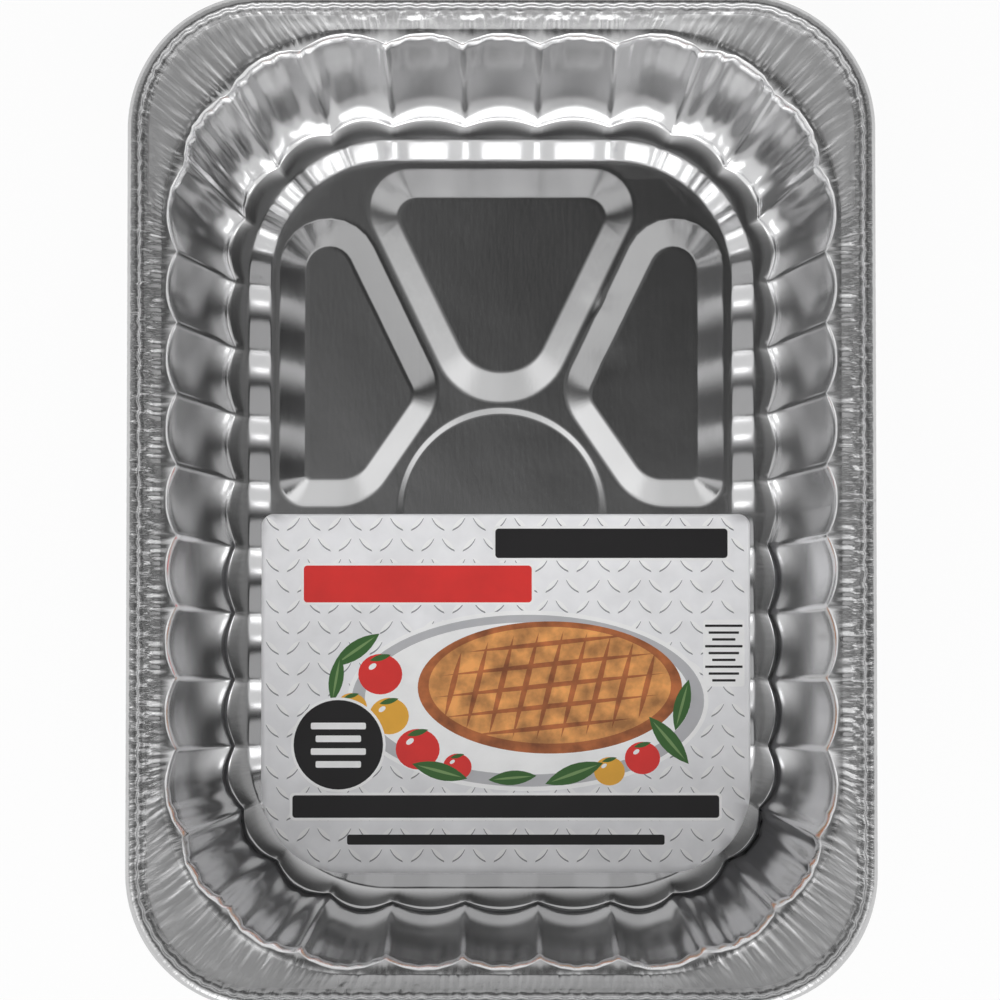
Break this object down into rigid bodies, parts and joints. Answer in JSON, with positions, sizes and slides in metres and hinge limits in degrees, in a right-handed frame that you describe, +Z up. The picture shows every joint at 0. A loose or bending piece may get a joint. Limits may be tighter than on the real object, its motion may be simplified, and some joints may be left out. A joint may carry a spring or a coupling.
{
  "type": "foil roasting pan",
  "caption": "Deep rectangular roasting pan pressed from thin foil, with fluted leaning walls, a rolled rim, a ribbed floor and a paper label on the floor.",
  "frame": {"origin": "centre of the foot ring's footprint, on the surface that the pan stands on", "axes": "+X across the pan, +Y along it away from the label, +Z up out of the open mouth"},
  "size_m": [0.321, 0.435, 0.102],
  "materials": {
    "foil": "bright rolled foil with fine creases",
    "label_paper": "coated printed paper"
  },
  "bodies": {
    "root": {"pan": "foil", "label": "label_paper"}
  },
  "joints": []
}
